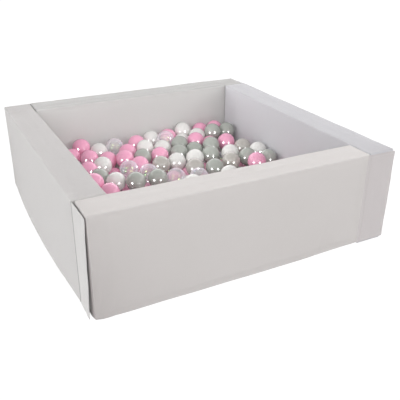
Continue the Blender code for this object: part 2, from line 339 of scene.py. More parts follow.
ballFinish = {
    "toneShare": 0.7,
    "cloudShare": 0.3,
    "cloudScale": 30.0,
    "scuffScale": 260.0,
    "scuffSpread": 0.10,
    "scuffStart": 0.05,
    "peelScale": 420.0,
    "peelStrength": 0.25,
    "peelDepth": 0.00012,
    "veilPower": 1.7,
    "veil": 0.48,
    "swirl": 0.32,
    "leastCover": 0.08,
    "filmThickness": 420.0,
    "filmIndex": 1.33,
    "coat": 0.4,
    "coatRoughness": 0.08,
}


def ballMaterial(finish, look, shared):
    # Blown plastic: each ball has its own tone, and fine scuffs and a faint orange peel break up the gloss.
    material, tree, shader, place = newMaterial("ball_" + finish)
    cloud = mathNode(tree, "MULTIPLY", noise(tree, place, shared["cloudScale"], 2.0), shared["cloudShare"])
    scuffs = noise(tree, place, shared["scuffScale"], 4.0, Distortion=1.5)
    tone = scaledSum(tree, attributeValue(tree, "ballTone"), shared["toneShare"], cloud)
    rough = scaledSum(tree, scuffs, shared["scuffSpread"], look["roughness"] - shared["scuffStart"])
    fillInputs(shader, Base_Color=colorMix(tree, tone, look["color"], look["shade"]), Roughness=rough)
    peel = noise(tree, place, shared["peelScale"], 1.0)
    addBump(tree, shader, peel, shared["peelStrength"], shared["peelDepth"])
    if finish == "clear":
        # A thin shell: it veils most where it is seen edge on, and a pearly swirl floats in it.
        edge = addNode(tree, "ShaderNodeLayerWeight", Blend=0.5).outputs["Facing"]
        veil = mathNode(tree, "MULTIPLY", mathNode(tree, "POWER", edge, shared["veilPower"]), shared["veil"])
        cover = mathNode(tree, "ADD", scaledSum(tree, scuffs, shared["swirl"], veil), shared["leastCover"])
        fillInputs(shader, Alpha=cover, Thin_Film_Thickness=shared["filmThickness"],
                   Thin_Film_IOR=shared["filmIndex"])
    if finish == "pearl":
        fillInputs(shader, Coat_Weight=shared["coat"], Coat_Roughness=shared["coatRoughness"])
    return material


def tinted(look, tint):
    # Copies of the cloth whose colours are multiplied by a tint: the tint shifts the hue, and for some copies
    # it also stands in for light as painted light.
    colors = {key: tuple(a * b for a, b in zip(look[key], tint)) for key in ("color", "shade", "paintedShadeColor")}
    return dict(look, **colors)


# Lit copies as painted light: the pale and the cool cloth are lighter against the shade inside the pit, and
# the bright cloth is lighter because painted shade darkens it everywhere but at its painted highlight. The
# cool cloth is also bluer, the pale one less red, the lilac one darker and lilac, the light one a little
# bluer, and the flap's cloth lighter.
fabric = fabricMaterial("cover_fabric", fabricLook)
fabricCool = fabricMaterial("cover_fabric_cool", tinted(fabricLook, (1.075, 1.125, 1.200)))
fabricLilac = fabricMaterial("cover_fabric_lilac", tinted(fabricLook, (0.945, 0.925, 0.950)))
fabricLight = fabricMaterial("cover_fabric_light", tinted(fabricLook, (1.000, 1.020, 1.030)))
fabricBright = fabricMaterial("cover_fabric_bright", tinted(fabricLook, (1.075, 1.075, 1.075)))
fabricPale = fabricMaterial("cover_fabric_pale", tinted(fabricLook, (1.030, 1.080, 1.080)))
# The closing flap's cloth has a far darker painted shade colour, for the painted shade along its fold
creaseShadeLook = dict(fabricLook, paintedShadeColor=(0.11, 0.10, 0.10))
fabricFlap = fabricMaterial("cover_fabric_flap", tinted(creaseShadeLook, (1.10, 1.13, 1.14)))
thread = fabricMaterial("sewing_thread", threadLook)
ballMaterials = {finish: ballMaterial(finish, look, ballFinish) for finish, look in ballLooks.items()}
print("materials made")

# Foam walls in fabric covers

wallLook = {
    "gridStep": 0.0068,
    "inset": 0.0011,
    "edgeRadius": 0.0050,
    "edgeSteps": 3,
    "mergeDistance": 0.0002,
    "frames": 20,
    "pressure": 4.0,
    "cap": 0.0020,
    "clipSoftness": 0.0004,
    "foamHold": 0.0004,
    "endGap": 0.0010,
    "crown": 0.0012,
    "innerCrown": 0.0010,
    "crownFade": 0.05,
    "firstNeighbour": (0.085, 0.110),
    "lastNeighbour": (0.115, 0.095),
    "innerFade": (0.03, 0.07),
    "bulgeReach": 0.05,
    "bulgeAlong": 0.9,
    "bulgeUp": 1.3,
    "footReach": 0.03,
    "footHeight": 0.09,
    "footTurn": 0.6,
    "tipWidth": 0.018,
}
wallTurns = {"front_wall": 0, "right_wall": 1, "back_wall": 2, "left_wall": 3}
wallCloths = dict(zip(wallTurns, (fabricBright, fabricCool, fabricPale, fabricLight)))
endProud = {"front_wall": 0.0032}  # The free end's cloth stands out towards the closing flap
footBulge = {"left_wall": 0.017}  # How far the foot of the outer face bows out in its middle
# How far the outer face's foot is drawn up at the wall's two ends, and how much more at its first corner
footLift = {"front_wall": (0.003, 0.010, 0.005)}
# Corner radii at the foot's two ends, then at the top's two ends
plainRadii = (0.011, 0.011, 0.006, 0.006)
cornerRadii = {"front_wall": (0.014, 0.008, 0.006, 0.006), "back_wall": (0.011, 0.011, 0.014, 0.006)}
# How much painted shade darkens the cloth on the wall's top, and on its inner face at the end that comes
# first
wallPaintedShade = dict(zip(wallTurns, ((0.0, 0.0), (0.43, 0.43), (0.52, 0.0), (0.40, 0.0))))
edgeHighlight = {"front_wall": 0.14}  # How much painted shade darkens the cloth away from the outer top edge, so that the edge shows a painted highlight
foldShade = {"left_wall": 1.0}  # How much painted shade lies down the outer face beside the fold, against that on top


def axisLines(low, high, radius, step, edgeSteps):
    # Grid lines along one axis: even in the flat part, and even in angle round the edges.
    angles = np.linspace(math.pi / 4, 0, edgeSteps + 1)[:-1]
    edge = radius * (1 - np.tan(angles))
    flat = np.linspace(low + radius, high - radius, max(2, round((high - low - 2 * radius) / step) + 1))
    return np.concatenate([low + edge, flat, (high - edge)[::-1]])


def roundedBlock(name, low, high, radius, step, edgeSteps):
    # Each point of a box's faces is drawn to the nearest point of the inner box, then set out from it by the
    # radius.
    low, high = np.array(low), np.array(high)
    lines = [axisLines(a, b, radius, step, edgeSteps) for a, b in zip(low, high)]
    points, faces, start = [], [], 0
    for axis in range(3):
        first, second = (axis + 1) % 3, (axis + 2) % 3
        for side, level in ((0, low[axis]), (1, high[axis])):
            grid = np.empty((len(lines[first]), len(lines[second]), 3))
            grid[..., axis] = level
            grid[..., first] = lines[first][:, None]
            grid[..., second] = lines[second][None, :]
            made = gridFaces(*grid.shape[:2], start=start)
            faces.append(made if side else made[:, ::-1])
            points.append(grid.reshape(-1, 3))
            start += len(points[-1])
    points = np.concatenate(points)
    inner = np.clip(points, low + radius, high - radius)
    away = points - inner
    points = inner + away * (radius / np.linalg.norm(away, axis=1, keepdims=True))
    piece = newPiece(name, meshFromArrays(name, points, np.concatenate(faces)))
    mergeClosePoints(piece, wallLook["mergeDistance"])
    return piece


def addPressure(piece, look):
    cloth = piece.modifiers.new("pressure", "CLOTH")
    settings = cloth.settings
    settings.quality = 3
    settings.mass = 0.25
    settings.tension_stiffness = 25
    settings.compression_stiffness = 25
    settings.shear_stiffness = 12
    settings.bending_stiffness = 2
    settings.use_pressure = True
    settings.uniform_pressure_force = look["pressure"]
    settings.effector_weights.gravity = 0
    cloth.point_cache.frame_start = 1
    cloth.point_cache.frame_end = look["frames"]


def inflateAll(pieces, look):
    # The covers fill out under pressure. A point moves no further than the cap, the foam lets it sink no
    # deeper than its hold, and a drift of the whole is undone.
    starts = [pointsOf(piece.data) for piece in pieces]
    outward = [normalsOf(piece.data) for piece in pieces]
    for piece in pieces:
        addPressure(piece, look)
    for number in range(1, look["frames"] + 1):
        scene.frame_set(number)
    for piece, start, normals in zip(pieces, starts, outward):
        moved = pointsOf(evaluatedMesh(piece)) - start
        moved -= moved.mean(axis=0)
        length = np.linalg.norm(moved, axis=1, keepdims=True)
        moved *= look["cap"] * np.tanh(length / look["cap"]) / np.maximum(length, tiny)
        sunk = np.minimum((moved * normals).sum(axis=1, keepdims=True) + look["foamHold"], 0)
        moved -= normals * sunk
        piece.modifiers.clear()
        setPoints(piece.data, start + moved)
    scene.frame_set(1)


def subdivided(piece):
    finer = piece.modifiers.new("finer", "SUBSURF")
    finer.levels = 1
    finer.render_levels = 1
    mesh = evaluatedMesh(piece)
    piece.modifiers.clear()
    piece.data = mesh
    mesh.shade_smooth()
    return mesh


def wallLimits(name):
    # The wall's box where it is the front wall, with room for its neighbour and for the free end's cloth.
    low, high = limitsOf(name + "_cover", wallTurns[name])
    low[0] -= endProud.get(name, 0)
    high[0] -= wallLook["endGap"]
    return low, high


wrinkles = {
    "seed": 21,
    "count": 26,
    "endReach": 0.16,
    "height": 0.0009,
    "heightSpread": 0.6,
    "middleShare": 0.5,
    "width": 0.007,
    "widthRange": (0.7, 2.2),
    "leanSpread": 0.12,
    "fadeRange": (0.4, 1.0),
    "sideBlend": 0.03,
    "swells": 5,
    "swellRange": (8, 34),
    "swellAxes": (1, 0.6, 0.8),
    "broadHeight": 0.0005,
    "broadShare": 0.45,
}


def wrinkleHeights(points, low, high, look, generator):
    # Upright creases: each is a bell across the wall's length, leaning a little and fading up or down, and
    # more of them lie near the ends. Broad swells are sums of slow waves.
    x, y, z = points.T
    length = high[0] - low[0]
    tall = high[2] - low[2]
    raised = np.zeros(len(points))
    for number in range(look["count"]):
        nearEnd = number % 3
        start = generator.uniform(0, look["endReach"]) if nearEnd else generator.uniform(0, length)
        place = low[0] + start if generator.random() < 0.5 else high[0] - start
        lean = generator.normal(0, look["leanSpread"])
        width = look["width"] * generator.uniform(*look["widthRange"])
        height = look["height"] * generator.normal(0, look["heightSpread"])
        height *= 1.0 if nearEnd else look["middleShare"]
        root = generator.choice([0.0, tall])
        fade = generator.uniform(*look["fadeRange"]) * tall
        side = generator.choice([-1, 1])
        across = (x - place - lean * (z - tall / 2)) / width
        fall = np.exp(-((z - root) / fade) ** 2)
        onSide = smoothStep(side * (y - (low[1] + high[1]) / 2), 0.0, look["sideBlend"])
        raised += height * np.exp(-across**2) * fall * onSide
    for number in range(look["swells"]):
        waves = generator.uniform(*look["swellRange"], 3) * look["swellAxes"]
        phase = generator.uniform(0, 2 * math.pi)
        raised += look["broadHeight"] * look["broadShare"] * np.sin(points @ waves + phase)
    return raised


def softExcess(values, softness):
    # How far each value is above nought, with a soft bend there.
    return softness * np.logaddexp(0, values / softness)


def wallClip(points, low, high, look):
    # Faces may crown a little past the wall's box, but not where a neighbour, the mat or the floor touches
    # them.
    x, y, z = points.T
    fade, softness = look["crownFade"], look["clipSoftness"]
    along = smoothStep(x, low[0], low[0] + fade) * (1 - smoothStep(x, high[0] - fade, high[0]))
    upright = smoothStep(z, low[2], low[2] + fade)
    free = 1 - smoothStep(x, high[0] - look["lastNeighbour"][0], high[0] - look["lastNeighbour"][1])
    free *= smoothStep(x, low[0] + look["firstNeighbour"][0], low[0] + look["firstNeighbour"][1])
    outer = low[1] - look["crown"] * along * upright
    inner = high[1] + look["innerCrown"] * along * smoothStep(z, *look["innerFade"]) * free
    top = high[2] + look["crown"] * along
    y = y - softExcess(y - inner, softness) + softExcess(outer - y, softness)
    z = z - softExcess(z - top, softness)
    return np.stack([np.clip(x, low[0], high[0]), y, np.maximum(z, low[2])], axis=1)


def roundedCorners(points, low, high, radii):
    # Near each end's top and bottom, points further from the corner's own centre than its radius are drawn
    # in to it.
    x, y, z = points.T.copy()
    corners = [(level, upward, end, inward) for level, upward in ((low[2], 1), (high[2], -1))
               for end, inward in ((low[0], 1), (high[0], -1))]
    for radius, (level, upward, end, inward) in zip(radii, corners):
        across = np.clip((end + inward * radius - x) * inward, 0, None)
        along = np.clip((level + upward * radius - z) * upward, 0, None)
        share = np.minimum(1, radius / np.maximum(np.hypot(across, along), tiny))
        share = np.where((across > 0) & (along > 0), share, 1)
        x = np.where(share < 1, end + inward * (radius - across * share), x)
        z = np.where(share < 1, level + upward * (radius - along * share), z)
    return np.stack([x, y, z], axis=1)


def bowedFoot(points, low, high, depth, look):
    # The outer face's foot bows out along the wall by half a sine wave, and the bow fades up the face and
    # across.
    x, y, z = points.T
    along = np.sin(math.pi * np.clip((x - low[0]) / (high[0] - low[0]), 0, 1)) ** look["bulgeAlong"]
    upright = (1 - smoothStep(z, low[2], high[2])) ** look["bulgeUp"]
    across = 1 - smoothStep(y, low[1], low[1] + look["bulgeReach"])
    return np.stack([x, y - depth * along * upright * across, z], axis=1)


def raisedFoot(points, low, high, lifts, look):
    # The outer face's foot is drawn up off the floor: at the first end, then to the amount at the last one,
    # with a bell at the very first corner.
    x, y, z = points.T
    share = smoothStep((x - low[0]) / (high[0] - low[0]), look["footTurn"], 1.0)
    corner = lifts[2] * np.exp(-((x - low[0]) / look["tipWidth"]) ** 2)
    lift = lifts[0] + (lifts[1] - lifts[0]) * share + corner
    lift = lift * (1 - smoothStep(y, low[1], low[1] + look["footReach"]))
    return np.stack([x, y, z + lift * (1 - smoothStep(z, low[2], low[2] + look["footHeight"]))], axis=1)


# Painted shade on the wall covers, with a painted highlight left on the outer top edge
paintedShadeLook = {
    "topBand": (0.005, 0.0015),
    "innerBand": (0.004, 0.001),
    "outerBand": (0.004, 0.012),
    "firstEndShade": 0.15,
    "firstEndShadeReach": 0.09,
    "firstFootShade": 0.26,
    "footReach": 0.16,
    "foot": 0.035,
    "seam": 0.6,
    "seamWidth": 0.0025,
    "seamBand": (0.020, 0.004),
    "edgeHighlightWidth": 0.006,
    "coveredReach": (0.001, 0.0045),
    "coveredBand": (0.010, 0.004),
}


def risingTo(values, level, band):
    # From nought to one as values come from a far distance under the level to a near one.
    return smoothStep(values, level - band[0], level - band[1])


def paintedShadeAmounts(points, low, high, name, look):
    # Painted shade darkens the cloth towards the end that comes first, most at its foot, a little towards
    # every foot, and on the top and the inner face as the wall's table says. Painted shade lies in the seam
    # beside the last end, on its top and, for the walls in the fold table, on its outer face. The outer top
    # edge stays paler than the rest where the edge table says, as a painted highlight, and the end that the
    # closing flap covers is dark with painted shade.
    x, y, z = points.T
    topShade, innerShade = wallPaintedShade[name]
    fromFirst = x - low[0]
    foot = 1 - smoothStep(z, low[2], high[2])
    top = risingTo(z, high[2], look["topBand"])
    inner = risingTo(y, high[1], look["innerBand"]) * (1 - top)
    # Painted shade towards the first end, most at its foot, towards every foot, and on the top and the inner
    # face
    amounts = look["firstEndShade"] * np.exp(-fromFirst / look["firstEndShadeReach"])
    amounts += look["firstFootShade"] * foot * np.exp(-fromFirst / look["footReach"])
    amounts += look["foot"] * foot
    amounts += topShade * top + innerShade * inner * (1 - fromFirst / (high[0] - low[0]))
    # Painted shade in the seam beside the last end, on the top and, where the fold table says, down the outer
    # face
    outer = 1 - smoothStep(y, low[1] + look["outerBand"][0], low[1] + look["outerBand"][1])
    seam = np.maximum(risingTo(z, high[2], look["seamBand"]), foldShade.get(name, 0) * outer)
    amounts += look["seam"] * np.exp(-((high[0] - x) / look["seamWidth"]) ** 2) * seam
    # Painted highlight: all but the outer top edge is darkened, where the edge table says
    edge = np.exp(-((y - low[1]) ** 2 + (z - high[2]) ** 2) / look["edgeHighlightWidth"]**2)
    amounts += edgeHighlight.get(name, 0) * (1 - edge)
    # Painted shade in the gap behind the closing flap, on the end that it covers
    if name in endProud:
        near, far = look["coveredReach"]
        covered = 1 - smoothStep(x, low[0] + near, low[0] + far)
        amounts += covered * (1 - risingTo(z, high[2], look["coveredBand"]))
    return np.clip(amounts, 0, 1)


zipGroove = {"halfWidth": 0.0155, "edge": 0.0035, "depth": 0.0036}


def pressedGroove(points, zipBox, look):
    # Over the zip the underside is pressed up by a flat-bottomed groove with soft edges.
    x, y, z = points.T
    (lowX, lowY, _), (highX, highY, _) = zipBox
    middle = (lowY + highY) / 2
    along = smoothStep(x, lowX - look["edge"], lowX) * (1 - smoothStep(x, highX, highX + look["edge"]))
    across = 1 - smoothStep(abs(y - middle), look["halfWidth"], look["halfWidth"] + look["edge"])
    return np.stack([x, y, np.maximum(z, look["depth"] * along * across)], axis=1)


matLook = {
    "gridStep": 0.0105,
    "edgeRadius": 0.0075,
    "edgeSteps": 2,
    "inset": 0.0012,
    "wave": 0.0006,
    "waves": ((23, 9, 0), (-12, 17, 1.3)),  # How fast each turns across and along, and where it starts
    "topGap": 0.0002,
}


def makeMat(look):
    low, high = limitsOf("mat_cover", 0)
    return roundedBlock("mat_padded", low + look["inset"], high - look["inset"], look["edgeRadius"],
                        look["gridStep"], look["edgeSteps"])


def dressMat(piece, look):
    # Slow waves dimple the top, and nothing passes the mat's box.
    low, high = limitsOf("mat_cover", 0)
    mesh = subdivided(piece)
    points = pointsOf(mesh)
    x, y, z = points.T
    waves = [np.sin(across * x + along * y + phase) for across, along, phase in look["waves"]]
    swell = look["wave"] * (sum(waves) - len(waves)) / len(waves)
    points[:, 2] += swell * smoothStep(z, low[2], high[2])
    points = np.clip(points, low, high - (0, 0, look["topGap"]))
    setPoints(mesh, pressedGroove(points, limitsOf("mat_zip", 0), zipGroove))
    mesh.materials.clear()
    mesh.materials.append(fabric)
    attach(piece, "base")
    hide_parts("mat_cover", "mat_foam")


def makeWalls(look):
    pieces = {}
    mat = makeMat(matLook)
    generator = np.random.default_rng(wrinkles["seed"])
    for name in wallTurns:
        low, high = wallLimits(name)
        pieces[name] = roundedBlock(name + "_padded", low + look["inset"], high - look["inset"],
                                    look["edgeRadius"], look["gridStep"], look["edgeSteps"])
    inflateAll([*pieces.values(), mat], look)
    dressMat(mat, matLook)
    for name, piece in pieces.items():
        mesh = subdivided(piece)
        points = pointsOf(mesh)
        low, high = wallLimits(name)
        raised = wrinkleHeights(points, low, high, wrinkles, generator)
        points = wallClip(points + normalsOf(mesh) * raised[:, None], low, high, look)
        points = roundedCorners(points, low, high, cornerRadii.get(name, plainRadii))
        setValues(mesh, "paintedShade", paintedShadeAmounts(points, low, high, name, paintedShadeLook))
        points = raisedFoot(points, low, high, footLift.get(name, (0, 0, 0)), look)
        points = pressedGroove(points, limitsOf(name + "_zip", wallTurns[name]), zipGroove)
        points = bowedFoot(points, low, high, footBulge.get(name, 0), look)
        setPoints(mesh, quarterTurn(points, wallTurns[name]))
        mesh.materials.clear()
        mesh.materials.append(wallCloths[name])
        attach(piece, "base" if name == "back_wall" else name)
        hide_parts(name + "_cover", name + "_foam")
    return pieces


walls = makeWalls(wallLook)
print("walls made")

# Corner flaps: the covers run on over the corners as flat sheets of doubled cloth

flapLook = {
    "start": 0.3935,
    "flush": 0.4030,
    "sunk": 0.0012,
    "crease": 0.4044,
    "turnEnd": 0.4150,
    "turnSteps": 34,
    "acrossStep": 0.003,
    "upStep": 0.004,
    "edgeLines": (0.0, 0.0003, 0.001, 0.0025, 0.006, 0.0098, 0.0108, 0.0122),
    "cloth": 0.0011,
    "hem": 0.0017,
    "hemWidth": 0.011,
    "hemStep": 0.0012,
    "hemShare": 0.35,
    "edgeThin": 0.45,
    "edgeRound": 0.001,
    "cornerRadius": 0.004,
    "sharpAngle": 60,
    "sagPower": 1.3,
    "sagStart": 0.4,
    "liftEnd": 0.6,
    "leanPower": 0.8,
    "leanStart": 0.1,
    "tuckShare": 0.6,
    "tuckEnd": 0.5,
    "seedStep": 1.7,
    "wave": 0.0006,
    "ripple": 0.00035,
    "rippleStart": (0.05, 0.3),
    "foldPaling": 0.4,
    "blendFrom": -0.004,
    "blendTo": 0.0055,
    "blendHeight": 0.15,
    "probes": 60,
    "probeGap": 0.02,
}
# Each groove gives its place along the wall, its half width and its depth, and each fold the strength and the
# half width of the painted shade along it
plainFlap = {"groove": (0.4098, 0.0020, 0.0012), "fold": (0.12, 0.0017), "lean": 0.0}
flapPlan = {
    "front_right_flap": {**plainFlap, "turn": 0, "wall": "front_wall", "from": "front_wall",
                         "to": "right_wall", "cloth": fabricLilac, "taper": 0.0, "sag": 0.001, "lift": 0.010},
    "back_right_flap": {**plainFlap, "turn": 1, "wall": "right_wall", "from": "right_wall", "to": "base",
                        "cloth": fabricCool, "taper": 0.001, "sag": 0.006, "lift": 0.002},
    "back_left_flap": {**plainFlap, "turn": 2, "wall": "back_wall", "from": "base", "to": "left_wall",
                       "cloth": fabricPale, "taper": 0.002, "sag": 0.001, "lift": 0.003},
    "closing_flap": {"turn": 3, "wall": "left_wall", "from": "left_wall", "to": "closing_flap",
                     "cloth": fabricFlap, "groove": (0.4094, 0.0022, 0.0024), "fold": (1.0, 0.0032),
                     "lean": 0.0042, "taper": 0.012, "sag": 0.005, "lift": 0.003},
}
stitchLook = {
    "inset": 0.0075,
    "firstGap": 0.006,
    "pitch": 0.0044,
    "length": 0.0031,
    "radius": 0.00032,
    "sides": 6,
    "rings": 4,
}


def seatedOn(points, target, inward=None):
    # Brings points to the nearest place on a piece, or along a direction on to it.
    faces = np.arange(len(points) // 3 * 3).reshape(-1, 3)
    holder = newPiece("seating", meshFromArrays("seating", points, faces))
    wrap = holder.modifiers.new("seat", "SHRINKWRAP")
    wrap.target = target
    if inward is None:
        wrap.wrap_method = "NEAREST_SURFACEPOINT"
    else:
        wrap.wrap_method = "PROJECT"
        used = [bool(abs(side) > 0.5) for side in inward]
        wrap.use_project_x, wrap.use_project_y, wrap.use_project_z = used
        wrap.use_positive_direction = bool(sum(inward) > 0)
        wrap.use_negative_direction = bool(sum(inward) < 0)
    found = pointsOf(evaluatedMesh(holder))
    bpy.data.objects.remove(holder)
    return found


def edgeSpaced(low, high, step, fine):
    # Grid lines that crowd at both ends, at the distances of the fine list, and are even between.
    fine = np.array(fine)
    count = max(2, round((high - low - 2 * fine[-1]) / step) + 1)
    middle = np.linspace(low + fine[-1], high - fine[-1], count)
    return np.concatenate([low + fine[:-1], middle, (high - fine[:-1])[::-1]])


def flapShares(x, z, limits, look):
    # How far points lie from the crease towards the free edge, and from the foot to the top, as shares.
    low, high = limits
    share = np.clip((x - look["crease"]) / (high[0] - look["crease"]), 0, 1)
    return share, (z - low[2]) / (high[2] - low[2])


def hungEdges(x, z, plan, limits, look):
    # The flap as it hangs: its free edge is drawn back towards its foot, its top droops away from the
    # crease, and its lower edge is drawn up.
    share, up = flapShares(x, z, limits, look)
    sag = plan["sag"] * share ** look["sagPower"] * smoothStep(up, look["sagStart"], 1)
    lift = plan["lift"] * (1 - smoothStep(up, 0, look["liftEnd"]))
    return x - plan["taper"] * share * (1 - up), z - sag + lift


def flapSurface(x, z, plan, limits, wallLine, look):
    # Depth of the flap's outer face over its width and height: level with the wall at the crease, then flat,
    # with a lean that grows towards the free edge's top, slow waves, and ripples that run up and down.
    share, up = flapShares(x, z, limits, look)
    wallDepth = np.interp(z, wallLine[:, 2], wallLine[:, 1]) + look["sunk"]
    seed = plan["turn"] * look["seedStep"]
    lean = plan["lean"] * share ** look["leanPower"] * smoothStep(up, look["leanStart"], 1.0)
    lean -= plan["lean"] * look["tuckShare"] * share**2 * (1 - smoothStep(up, 0.0, look["tuckEnd"]))
    wave = look["wave"] * share * (np.sin(9 * up + seed) + 0.6 * np.sin(21 * up + 2 * seed + 3 * share))
    ripple = look["ripple"] * np.sin(17 * share + 2.5 * up + seed) * smoothStep(share, *look["rippleStart"])
    grooveAt, grooveWidth, grooveDepth = plan["groove"]
    crease = grooveDepth * np.exp(-((x - grooveAt) / grooveWidth) ** 2)
    flat = limits[0][1] + lean + wave + ripple + crease
    return wallDepth + (flat - wallDepth) * smoothStep(x, look["start"], look["flush"])


def flapWallLine(plan, limits, look):
    # Where the wall's outer face lies under the flap's start, from its foot to its top.
    low, high = limits
    count = look["probes"]
    depths = np.full(count, low[1] - look["probeGap"])
    probes = np.stack([np.full(count, look["start"]), depths, np.linspace(low[2], high[2], count)], axis=1)
    inward = quarterTurn(np.array([0.0, 1.0, 0.0]), plan["turn"])
    found = seatedOn(quarterTurn(probes, plan["turn"]), walls[plan["wall"]], np.round(inward))
    return quarterTurn(found, (4 - plan["turn"]) % 4)


def makeFlap(name, plan, look):
    limits = limitsOf(name, plan["turn"])
    low, high = limits
    wallLine = flapWallLine(plan, limits, look)
    fine = look["edgeLines"]
    free = edgeSpaced(look["turnEnd"] - fine[-1], high[0], look["acrossStep"], fine)[len(fine) - 1:]
    x = np.concatenate([np.linspace(look["start"], look["turnEnd"], look["turnSteps"])[:-1], free])
    z = edgeSpaced(low[2], high[2], look["upStep"], fine)
    acrossGrid, upGrid = np.meshgrid(x, z, indexing="ij")
    # Its free corners are rounded: the edge is drawn back to a circle near the top and the foot
    radius = look["cornerRadius"]
    fromEnd = np.minimum(upGrid - low[2], high[2] - upGrid)
    drawn = radius - np.sqrt(np.maximum(radius**2 - np.clip(radius - fromEnd, 0, radius) ** 2, 0))
    toEdge = np.minimum(fromEnd, high[0] - acrossGrid)
    acrossGrid = acrossGrid - drawn * smoothStep(acrossGrid, look["crease"], high[0])
    acrossGrid, upGrid = hungEdges(acrossGrid, upGrid, plan, limits, look)
    outer = flapSurface(acrossGrid, upGrid, plan, limits, wallLine, look)
    # The hem is thicker than the cloth, and the thickness thins at the very edge like a rounded fold
    hemmed = 1 - smoothStep(toEdge, look["hemWidth"] - look["hemStep"], look["hemWidth"])
    thick = look["cloth"] + (look["hem"] - look["cloth"]) * hemmed
    rounding = np.sqrt(np.clip(toEdge / look["edgeRound"], 0, 1))
    thick = thick * (look["edgeThin"] + (1 - look["edgeThin"]) * rounding)
    outer = outer + (look["hem"] - look["cloth"]) * look["hemShare"] * (1 - hemmed)
    front = np.stack([acrossGrid, outer, upGrid], axis=-1)
    rear = front.copy()
    rear[..., 1] += thick
    points, faces = twoSided(front, rear)
    mesh = meshFromArrays(name + "_sheet", quarterTurn(points, plan["turn"]), faces)
    mesh.set_sharp_from_angle(angle=math.radians(look["sharpAngle"]))
    # Painted shade lies along the fold in a narrow bell, less towards its top
    fold = plan["fold"][0] * np.exp(-((acrossGrid - plan["groove"][0]) / plan["fold"][1]) ** 2)
    fold *= 1 - look["foldPaling"] * (upGrid - low[2]) / (high[2] - low[2])
    setValues(mesh, "paintedShade", np.tile(fold.ravel(), 2))
    piece = newPiece(name + "_sheet", mesh, plan["cloth"])
    start, end = (quarterTurn(np.array([look["flush"] + shift, low[1], look["blendHeight"]]), plan["turn"])
                  for shift in (look["blendFrom"], look["blendTo"]))
    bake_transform(piece)
    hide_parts(name)
    addStitches(name, plan, limits, wallLine, look, stitchLook)


def addStitches(name, plan, limits, wallLine, look, stitch):
    # Short rounded threads along the hem: each is a long bead, wide in its middle, laid along the line of
    # sewing.
    low, high = limits
    inset = stitch["inset"]
    along = np.arange(look["flush"] + stitch["firstGap"], high[0] - inset, stitch["pitch"])
    upward = np.arange(low[2] + inset + stitch["pitch"] / 2, high[2] - inset, stitch["pitch"])
    x = np.concatenate([along, np.full(len(upward), high[0] - inset), along[::-1]])
    z = np.concatenate([np.full(len(along), low[2] + inset), upward, np.full(len(along), high[2] - inset)])
    runsUp = np.repeat([False, True, False], [len(along), len(upward), len(along)])[:, None]
    x, z = hungEdges(x, z, plan, limits, look)
    depth = flapSurface(x, z, plan, limits, wallLine, look)
    rings = np.linspace(0, math.pi, stitch["rings"] + 2)[1:-1]
    around = np.linspace(0, 2 * math.pi, stitch["sides"], endpoint=False)
    bead = np.empty((len(rings), len(around), 3))
    bead[..., 0] = (np.cos(rings) * stitch["length"] / 2)[:, None]
    bead[..., 1] = np.sin(rings)[:, None] * np.cos(around) * stitch["radius"]
    bead[..., 2] = np.sin(rings)[:, None] * np.sin(around) * stitch["radius"]
    tips = np.array([(stitch["length"] / 2, 0, 0), (-stitch["length"] / 2, 0, 0)])
    unit = np.vstack([bead.reshape(-1, 3), tips])
    laid = np.empty((len(x), len(unit), 3))
    laid[..., 0] = x[:, None] + np.where(runsUp, -unit[:, 2], unit[:, 0])
    laid[..., 1] = depth[:, None] + unit[:, 1]
    laid[..., 2] = z[:, None] + np.where(runsUp, unit[:, 0], unit[:, 2])
    quads = gridFaces(len(rings), len(around), closeColumns=True)[:, ::-1]
    caps = capFans(len(rings), len(around))[:, [0, 2, 1]]
    mesh = copiesMesh(name + "_stitches", quarterTurn(laid, plan["turn"]), quads, caps)
    piece = newPiece(name + "_stitches", mesh, thread)
    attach(piece, plan["to"])


# Hook and loop strips behind the flaps

stripLook = {
    "hook": {"color": (0.42, 0.41, 0.40), "shade": (0.33, 0.32, 0.32), "pitch": 0.0022, "height": 0.00035},
    "loop": {"color": (0.50, 0.49, 0.48), "shade": (0.40, 0.39, 0.38), "pitch": 0.0031, "height": 0.00025},
    "tape": 0.0007,
    "edgeRound": 0.001,
    "border": 0.003,
    "gap": 0.0001,
    "fineStep": 0.0011,
    "plainStep": 0.004,
}


def stripMaterial(kind, look):
    # Hooks stand in rows, and loops lie in a felted nap.
    material, tree, shader, place = newMaterial(kind + "_tape")
    if kind == "hook":
        pile = addNode(tree, "ShaderNodeTexVoronoi", Vector=place, Scale=1 / look["pitch"], Randomness=0.2)
        pile = pile.outputs["Distance"]
    else:
        pile = noise(tree, place, 1 / look["pitch"], 6.0, Roughness=0.7)
    fillInputs(shader, Base_Color=colorMix(tree, pile, look["shade"], look["color"]),
               Roughness=scaledSum(tree, pile, 0.25, 0.5))
    addBump(tree, shader, pile, 0.8, 0.0004)
    return material


stripMaterials = {kind: stripMaterial(kind, stripLook[kind]) for kind in ("hook", "loop")}


